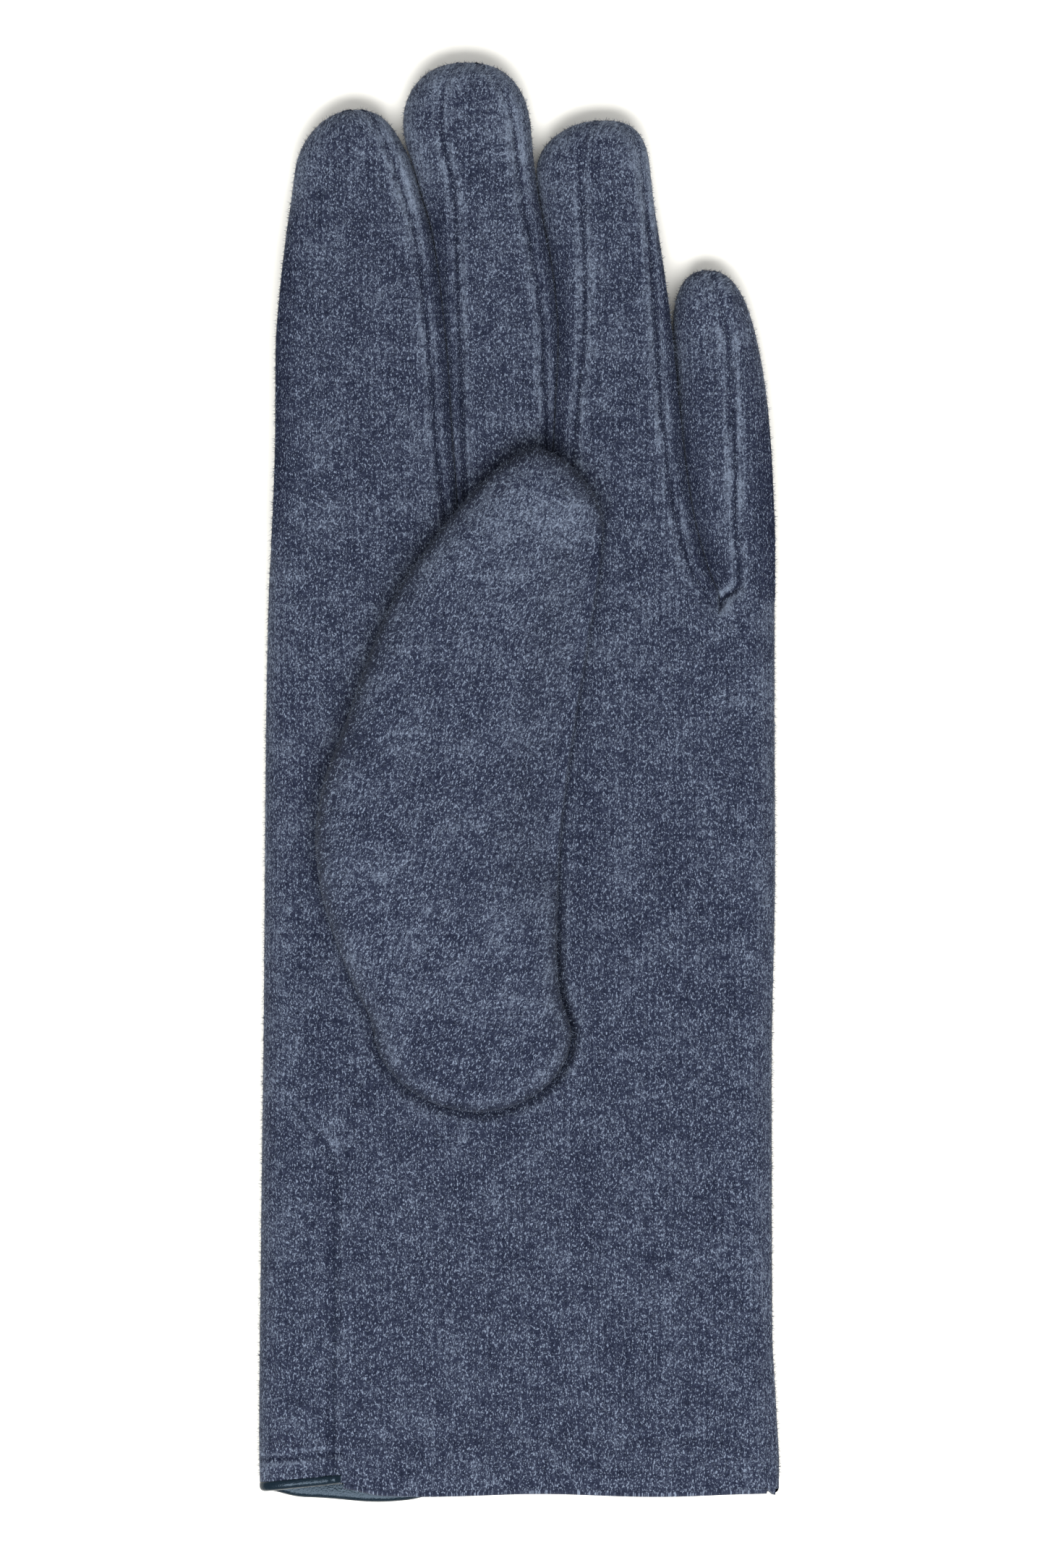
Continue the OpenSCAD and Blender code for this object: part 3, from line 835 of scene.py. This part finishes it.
def stitch_pieces():
    """The four rows of thread: side seam, hem, binding and the seam round the thumb."""
    up = np.arange(3.5, 74, 0.8)
    left, right = finger_edges(FINGERS[0], up)
    side = np.stack([left + (right - left) * FINGERS[0]["seams"]["front"][0](up), up], 1)
    hem = [(x, HEM_DEPTH) for x in np.arange(-29.5, 44.5, 0.8)]
    strip = [(x, STITCH_UP + 0.5 + (x + 46) / 14.8) for x in np.arange(-44.5, -31.5, 0.6)]
    rear_x = np.arange(-44, 44.5, 0.8)
    rear_up = 0 * rear_x + STITCH_UP
    rear = np.stack([rear_x, rear_up, back_height(rear_x, rear_up) + 0.05], 1)
    low = THUMB_ROWS < SEWN_TOP_RIGHT - 6
    left, right = (np.stack([edge[low], THUMB_ROWS[low]], 1) for edge in thumb_sides)
    loop = np.concatenate([left[::-1][8:], right[1:]])
    loop = loop + 0.35 * np.sign(loop - loop.mean(0))
    return [
        stitch_rows("side_seam_stitches", [on_front(side, 0.25)]),
        stitch_rows("hem_stitches", [on_front(hem, 0.1)], pitch=4.4, length=0.9, thick=0.2),
        stitch_rows("binding_stitches", [on_front(strip, 0.2), rear]),
        stitch_rows("thumb_seam_stitches", [on_front(loop, 0.3)]),
    ]


def as_object(bm, name, finish):
    mesh = bpy.data.meshes.new(name)
    bm.to_mesh(mesh)
    bm.free()
    piece = bpy.data.objects.new(name + "_cloth", mesh)
    bpy.context.scene.collection.objects.link(piece)
    mesh.materials.append(finish)
    return piece


def along_z(ways):
    """For each direction, a turn that brings +Z onto it, as 3 x 3 matrices."""
    side = np.cross(ways, [0.31, 0.27, 0.91])
    side /= np.linalg.norm(side, axis=1)[:, None]
    return np.stack([side, np.cross(ways, side), ways], 2)


def nap_piece(skin, name, every=0.36):
    """Loose light fibres standing out of a sewn piece: one thin needle to each patch of cloth."""
    dice = np.random.default_rng(sum(map(ord, name)))
    label = skin.faces.layers.int["panel"]
    knit = skin.verts.layers.float_vector["knit"]
    number = panel_number(name)
    faces = [f for f in skin.faces if f[label] == number and f.calc_center_median().y > CUFF_Y + 0.004]
    if name.startswith("thumb"):
        faces = [f for f in faces if f.normal.z > -0.5]
    thirds = [(f.normal, f.verts[0], f.verts[k], f.verts[k + 1])
              for f in faces for k in range(1, len(f.verts) - 1)]
    normals = np.array([n for n, *_ in thirds])
    spots = np.array([[v.co for v in corners] for _, *corners in thirds])
    flats = np.array([[v[knit] for v in corners] for _, *corners in thirds])
    spans = np.cross(spots[:, 1] - spots[:, 0], spots[:, 2] - spots[:, 0])
    areas = np.linalg.norm(spans, axis=1) / 2
    count = int(areas.sum() / (PACE * PACE) / every)
    picked = dice.choice(len(thirds), count, p=areas / areas.sum())
    shares = dice.dirichlet(np.ones(3), count)[:, :, None]
    ways = normals[picked] * dice.uniform(0.15, 0.6, (count, 1)) + dice.normal(0, 0.5, (count, 3))
    ways /= np.linalg.norm(ways, axis=1)[:, None]
    inward = np.sum(ways * normals[picked], axis=1)[:, None]
    ways = ways - normals[picked] * np.minimum(inward - 0.12, 0)
    ways /= np.linalg.norm(ways, axis=1)[:, None]
    needle = bmesh.new()
    bmesh.ops.create_cone(needle, segments=3, radius1=1, radius2=0, depth=1, cap_ends=True)
    bmesh.ops.remove_doubles(needle, verts=needle.verts, dist=1e-6)
    bmesh.ops.translate(needle, verts=needle.verts, vec=(0, 0, 0.45))
    shape = np.array([v.co for v in needle.verts])
    corners = np.array([[v.index for v in f.verts] for f in needle.faces])
    needle.free()
    seats = (spots[picked] * shares).sum(1)
    pressed = seats[:, 2] < 1.3 * PACE
    ways[:, 2] = np.where(pressed, np.maximum(ways[:, 2], 0.02), ways[:, 2])
    ways /= np.linalg.norm(ways, axis=1)[:, None]
    seats[:, 2] = np.maximum(seats[:, 2], 0.07 * PACE)
    thick = dice.uniform(0.03, 0.06, (count, 1))
    sizes = np.concatenate([thick, thick, dice.uniform(0.35, 1.0, (count, 1))], 1) * PACE
    points = np.einsum("nij,nkj->nki", along_z(ways), shape[None] * sizes[:, None])
    points += seats[:, None]
    triangles = (corners[None] + len(shape) * np.arange(count)[:, None, None]).reshape(-1, 3)
    mesh = bpy.data.meshes.new("nap_" + name)
    mesh.from_pydata(points.reshape(-1, 3).tolist(), [], triangles.tolist())
    places = (flats[picked] * shares).sum(1) + dice.uniform(-9, 9, (count, 3)) * [1, 1, 0]
    places = np.repeat(places, len(shape), axis=0)
    mesh.attributes.new("knit", "FLOAT_VECTOR", "POINT").data.foreach_set("vector", places.ravel())
    # A random lighter or darker tone for each fibre, carried in the wear-and-shade channel; no shade is
    # painted here.
    wear_and_shade = np.repeat(dice.uniform(-0.8, 1.5, count), len(shape))
    mesh.attributes.new("wear_and_shade_attr", "FLOAT", "POINT").data.foreach_set("value", wear_and_shade)
    piece = bpy.data.objects.new("nap_" + name, mesh)
    bpy.context.scene.collection.objects.link(piece)
    mesh.materials.append(felted_knit)
    return piece


# ---------------------------------------------------------------- finishes


def new_node(tree, kind, sockets=(), **settings):
    """Adds a shader node; sockets gives each input by name or number: a value, or an output to link."""
    node = tree.nodes.new(kind)
    for key, value in settings.items():
        setattr(node, key, value)
    for key, value in dict(sockets).items():
        if isinstance(value, bpy.types.NodeSocket):
            tree.links.new(value, node.inputs[key])
        else:
            node.inputs[key].default_value = value
    return node


def math_node(tree, operation, *values):
    return new_node(tree, "ShaderNodeMath", dict(enumerate(values)), operation=operation).outputs[0]


def times(tree, value, amount):
    return math_node(tree, "MULTIPLY", value, amount)


def scaled(tree, value, amount):
    """The swing of a noise about its middle, times an amount."""
    return times(tree, math_node(tree, "SUBTRACT", value, 0.5), amount)


def total(tree, *values):
    result = values[0]
    for value in values[1:]:
        result = math_node(tree, "ADD", result, value)
    return result


def new_group(name, inputs, outputs):
    group = bpy.data.node_groups.new(name, "ShaderNodeTree")
    for way, sockets in (("INPUT", inputs), ("OUTPUT", outputs)):
        for label, kind in sockets:
            group.interface.new_socket(label, in_out=way, socket_type="NodeSocket" + kind)
    return group, group.nodes.new("NodeGroupInput"), group.nodes.new("NodeGroupOutput")


def wool_group():
    """Felted melange wool over fine knitting: Place is the flat cloth in drawn millimetres, and the
    wear-and-shade input makes the tone lighter where the nap has wear and darker where shade is painted.
    """
    tree, given, result = new_group(
        "felted_wool",
        [("Place", "Vector"), ("Wear_And_Shade", "Float"), ("Dark", "Color"), ("Middle", "Color"),
         ("Light", "Color")],
        [("Color", "Color"), ("Height", "Float")])
    place = given.outputs["Place"]

    def grain(scale, detail, rough=0.6, vector=place):
        return new_node(tree, "ShaderNodeTexNoise", {
            "Vector": vector, "Scale": scale, "Detail": detail, "Roughness": rough}).outputs[0]

    spread = new_node(tree, "ShaderNodeSeparateXYZ", {0: place})
    drift = grain(0.35, 1.0)
    ribs = []
    for axis, period in ((0, 1.2), (1, 1.25)):
        turn = times(tree, spread.outputs[axis], 2 * math.pi / period)
        turn = math_node(tree, "ADD", turn, scaled(tree, drift, 4.0))
        ribs.append(math_node(tree, "SINE", turn))
    faded = times(tree, grain(0.09, 1.0), 2.0)
    flecks = []
    for angle, size in ((0.35, 1.0), (1.45, 1.15), (2.5, 0.85)):
        laid = new_node(tree, "ShaderNodeMapping", {
            "Vector": place, "Rotation": (0, 0, angle), "Scale": (3.7 * size, 1.9 * size, 1.0)})
        streak = grain(1.0, 0.0, vector=laid.outputs[0])
        flecks.append(new_node(tree, "ShaderNodeMapRange", {
            "Value": streak, "From Min": 0.64, "From Max": 0.84}, interpolation_type="SMOOTHSTEP").outputs[0])
    fleck = math_node(tree, "MAXIMUM", flecks[0], math_node(tree, "MAXIMUM", flecks[1], flecks[2]))
    fine = grain(2.6, 2.0, 0.7)
    tint = total(
        tree, 0.425, scaled(tree, fine, 1.0), scaled(tree, grain(6.0, 0.0), 0.4),
        scaled(tree, grain(0.13, 2.0), 0.5), scaled(tree, grain(0.55, 3.0, 0.7), 0.8),
        times(tree, fleck, 0.95),
        # The wear-and-shade value: lighter where the nap has wear, darker for painted shade in seams and
        # creases.
        times(tree, given.outputs["Wear_And_Shade"], 0.26),
        times(tree, times(tree, ribs[0], faded), 0.05),
        times(tree, times(tree, ribs[1], faded), 0.018))
    low = new_node(tree, "ShaderNodeMapRange", {"Value": tint, "From Min": 0.1, "From Max": 0.5})
    high = new_node(tree, "ShaderNodeMapRange", {"Value": tint, "From Min": 0.5, "From Max": 1.05})
    shade = new_node(tree, "ShaderNodeMix", {
        0: low.outputs[0], 6: given.outputs["Dark"], 7: given.outputs["Middle"]}, data_type="RGBA")
    shade = new_node(tree, "ShaderNodeMix", {
        0: high.outputs[0], 6: shade.outputs[2], 7: given.outputs["Light"]}, data_type="RGBA")
    tree.links.new(shade.outputs[2], result.inputs["Color"])
    height = total(tree, fine, times(tree, fleck, 0.4),
                   times(tree, ribs[0], 0.12), times(tree, ribs[1], 0.08))
    tree.links.new(height, result.inputs["Height"])
    return tree


def leather_group():
    """Fine leather grain with scuffed, lighter spots."""
    tree, given, result = new_group(
        "fine_leather", [("Place", "Vector"), ("Ground", "Color"), ("Worn", "Color")],
        [("Color", "Color"), ("Roughness", "Float"), ("Height", "Float")])
    place = given.outputs["Place"]
    pores = new_node(tree, "ShaderNodeTexVoronoi", {"Vector": place, "Scale": 3.2})
    wear = new_node(tree, "ShaderNodeTexNoise", {"Vector": place, "Scale": 0.5, "Detail": 3.0})
    tone = new_node(tree, "ShaderNodeMix", {
        0: wear.outputs[0], 6: given.outputs["Ground"], 7: given.outputs["Worn"]}, data_type="RGBA")
    rough = total(tree, 0.16, times(tree, wear.outputs[0], 0.16))
    tree.links.new(tone.outputs[2], result.inputs["Color"])
    tree.links.new(rough, result.inputs["Roughness"])
    tree.links.new(pores.outputs["Distance"], result.inputs["Height"])
    return tree


def finish_of(name, group, colours, relief, roughness=None, sheen=0.0):
    """A Principled finish fed by one of the shared groups, laid on the cloth's own flat place."""
    material = bpy.data.materials.new(name)
    material.use_nodes = True
    tree = material.node_tree
    shader = tree.nodes["Principled BSDF"]
    surface = {"Sheen Weight": sheen, "Sheen Roughness": 0.45, "Sheen Tint": (0.55, 0.62, 0.75, 1),
               "Specular IOR Level": 0.2 if sheen else 0.22, "Specular Tint": (0.62, 0.8, 1.0, 1)}
    for label, value in surface.items():
        shader.inputs[label].default_value = value
    flat = new_node(tree, "ShaderNodeAttribute", attribute_name="knit")
    shared = new_node(tree, "ShaderNodeGroup", node_tree=group)
    tree.links.new(flat.outputs["Vector"], shared.inputs["Place"])
    # Wear and painted shade, stored on the cloth's points, reach the wool group here.
    if "Wear_And_Shade" in shared.inputs:
        wear_and_shade_attr = new_node(tree, "ShaderNodeAttribute", attribute_name="wear_and_shade_attr")
        tree.links.new(wear_and_shade_attr.outputs["Fac"], shared.inputs["Wear_And_Shade"])
    for label, colour in colours.items():
        shared.inputs[label].default_value = (*colour, 1)
    tree.links.new(shared.outputs["Color"], shader.inputs["Base Color"])
    if roughness is None:
        tree.links.new(shared.outputs["Roughness"], shader.inputs["Roughness"])
    else:
        shader.inputs["Roughness"].default_value = roughness
    bump = new_node(tree, "ShaderNodeBump", {
        "Strength": relief, "Distance": 0.0003, "Height": shared.outputs["Height"]})
    tree.links.new(bump.outputs[0], shader.inputs["Normal"])
    return material


WOOL = wool_group()
LEATHER = leather_group()
felted_knit = finish_of(
    "felted_knit", WOOL,
    {"Dark": (0.0034, 0.0045, 0.0132), "Middle": (0.0174, 0.0210, 0.0402), "Light": (0.150, 0.181, 0.240)},
    relief=0.4, roughness=0.95, sheen=0.1)
binding_finish = finish_of(
    "navy_binding", LEATHER, {"Ground": (0.0015, 0.006, 0.011), "Worn": (0.005, 0.011, 0.018)},
    relief=0.12)
thread_finish = finish_of(
    "navy_thread", WOOL,
    {"Dark": (0.005, 0.007, 0.016), "Middle": (0.012, 0.016, 0.03), "Light": (0.03, 0.037, 0.055)},
    relief=0.2, roughness=0.7)

# ---------------------------------------------------------------- assembly
skin = glove_skin()
thumb = thumb_skin()
HAND_PIECES = ["palm_panel", "back_panel", "fourchette_index_middle", "fourchette_middle_ring",
               "fourchette_ring_little", "thumb_gusset"]
joints = {j["name"]: j for j in frame["joints"]}
BEND_REACH = 0.012


def bend_planes(joint, back, forward):
    """Two points on either side of a joint, along the finger or thumb that turns there."""
    pivot = Vector(joints[joint]["pos_m"])
    lean = Vector((math.sin(THUMB_LEAN), math.cos(THUMB_LEAN), 0))
    if joint.endswith("curl"):
        lean = Vector((-joints[joint]["axis"][1], joints[joint]["axis"][0], 0))
    return dict(start=pivot - lean * back, end=pivot + lean * forward)


def move_with(piece, name):
    """Says what a piece moves with: the hand, or a bend between two bodies."""
    if name in HAND_PIECES:
        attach(piece, "hand")
    elif name == "thumb_root":
        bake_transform(piece, "hand", "thumb_base", **bend_planes("thumb_swing", 0.015, 0.011))
    elif name == "thumb_tip":
        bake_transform(piece, "thumb_base", "thumb_end", **bend_planes("thumb_lift", 0.008, 0.012))
    else:
        who = name.split("_")[0]
        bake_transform(piece, "hand", who + "_finger",
                 **bend_planes(who + "_curl", BEND_REACH, BEND_REACH))


for name in sorted(PANELS):
    part = thumb if name.startswith("thumb") else skin
    piece = panel_piece(part, name)
    nap = nap_piece(part, name)
    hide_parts(name)
    for shown in (piece, nap):
        move_with(shown, name)

trimmings = [(palm_hem_piece(), "knit"), (binding_piece(), "binding_leather")]
trimmings += [(piece, "thread") for piece in stitch_pieces()]
for piece, slot in trimmings:
    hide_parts(piece.name.removesuffix("_cloth"))
    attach(piece, "hand")

skin.free()
thumb.free()

# ---------------------------------------------------------------- studio


def studio():
    """A pale table, soft light from the cuff side, and a camera straight above."""
    scene = bpy.context.scene
    bm = bmesh.new()
    bmesh.ops.create_grid(bm, x_segments=1, y_segments=1, size=3)
    mesh = bpy.data.meshes.new("table_top")
    bm.to_mesh(mesh)
    bm.free()
    floor = bpy.data.objects.new("table_top", mesh)
    scene.collection.objects.link(floor)
    white = bpy.data.materials.new("white_table")
    white.use_nodes = True
    shader = white.node_tree.nodes["Principled BSDF"]
    shader.inputs["Base Color"].default_value = (0.93, 0.915, 0.86, 1)
    shader.inputs["Roughness"].default_value = 0.9
    mesh.materials.append(white)
    world = bpy.data.worlds.new("studio")
    world.use_nodes = True
    world.node_tree.nodes["Background"].inputs["Color"].default_value = (1, 1, 1, 1)
    world.node_tree.nodes["Background"].inputs["Strength"].default_value = 0.72
    scene.world = world
    lamp = bpy.data.lights.new("softbox", "AREA")
    lamp.shape = "RECTANGLE"
    lamp.size = 0.9
    lamp.size_y = 0.5
    lamp.energy = 19
    softbox = bpy.data.objects.new("softbox", lamp)
    softbox.location = (0.02, -0.5, 1.0)
    aim = Vector((0, 0, 0)) - softbox.location
    softbox.rotation_euler = aim.to_track_quat("-Z", "Y").to_euler()
    scene.collection.objects.link(softbox)
    camera = bpy.data.cameras.new("camera")
    eye = bpy.data.objects.new("camera", camera)
    distance = 1.6
    camera.lens = camera.sensor_width * distance / 0.2764
    eye.location = (0.0006, -0.0004, distance + 0.008)
    scene.collection.objects.link(eye)
    scene.camera = eye
    scene.view_settings.view_transform = "Standard"


studio()
